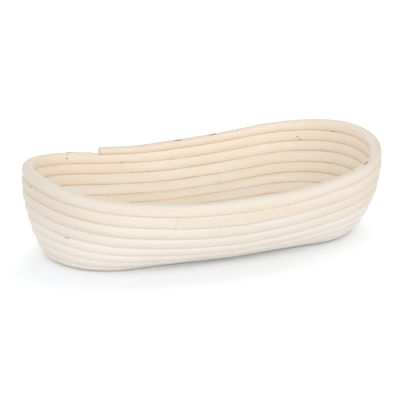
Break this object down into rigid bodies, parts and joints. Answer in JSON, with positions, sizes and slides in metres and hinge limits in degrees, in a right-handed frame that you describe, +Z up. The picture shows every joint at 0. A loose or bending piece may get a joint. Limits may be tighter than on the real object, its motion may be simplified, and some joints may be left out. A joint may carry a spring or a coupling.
{
  "type": "proofing basket",
  "caption": "Oval proofing basket wound from round peeled cane, with upswept ends, a flat spiral base and wire staples holding each turn to the next.",
  "frame": {"origin": "on the surface the basket stands on, under the middle of the base", "axes": "+X along the length, +Y across the width towards the side with the cut cane end, +Z up"},
  "size_m": [0.2524, 0.1521, 0.066],
  "materials": {
    "cane": "peeled, satin",
    "staple_wire": "dull drawn wire"
  },
  "bodies": {
    "root": {"core_cane": "cane", "inner_base_cane": "cane", "outer_base_cane": "cane", "bilge_cane": "cane", "lower_wall_cane": "cane", "middle_wall_cane": "cane", "upper_wall_cane": "cane", "rim_cane": "cane", "core_staples": "staple_wire", "inner_base_staples": "staple_wire", "outer_base_staples": "staple_wire", "bilge_staples": "staple_wire", "lower_wall_staples": "staple_wire", "middle_wall_staples": "staple_wire", "upper_wall_staples": "staple_wire", "rim_staples": "staple_wire"}
  },
  "joints": []
}
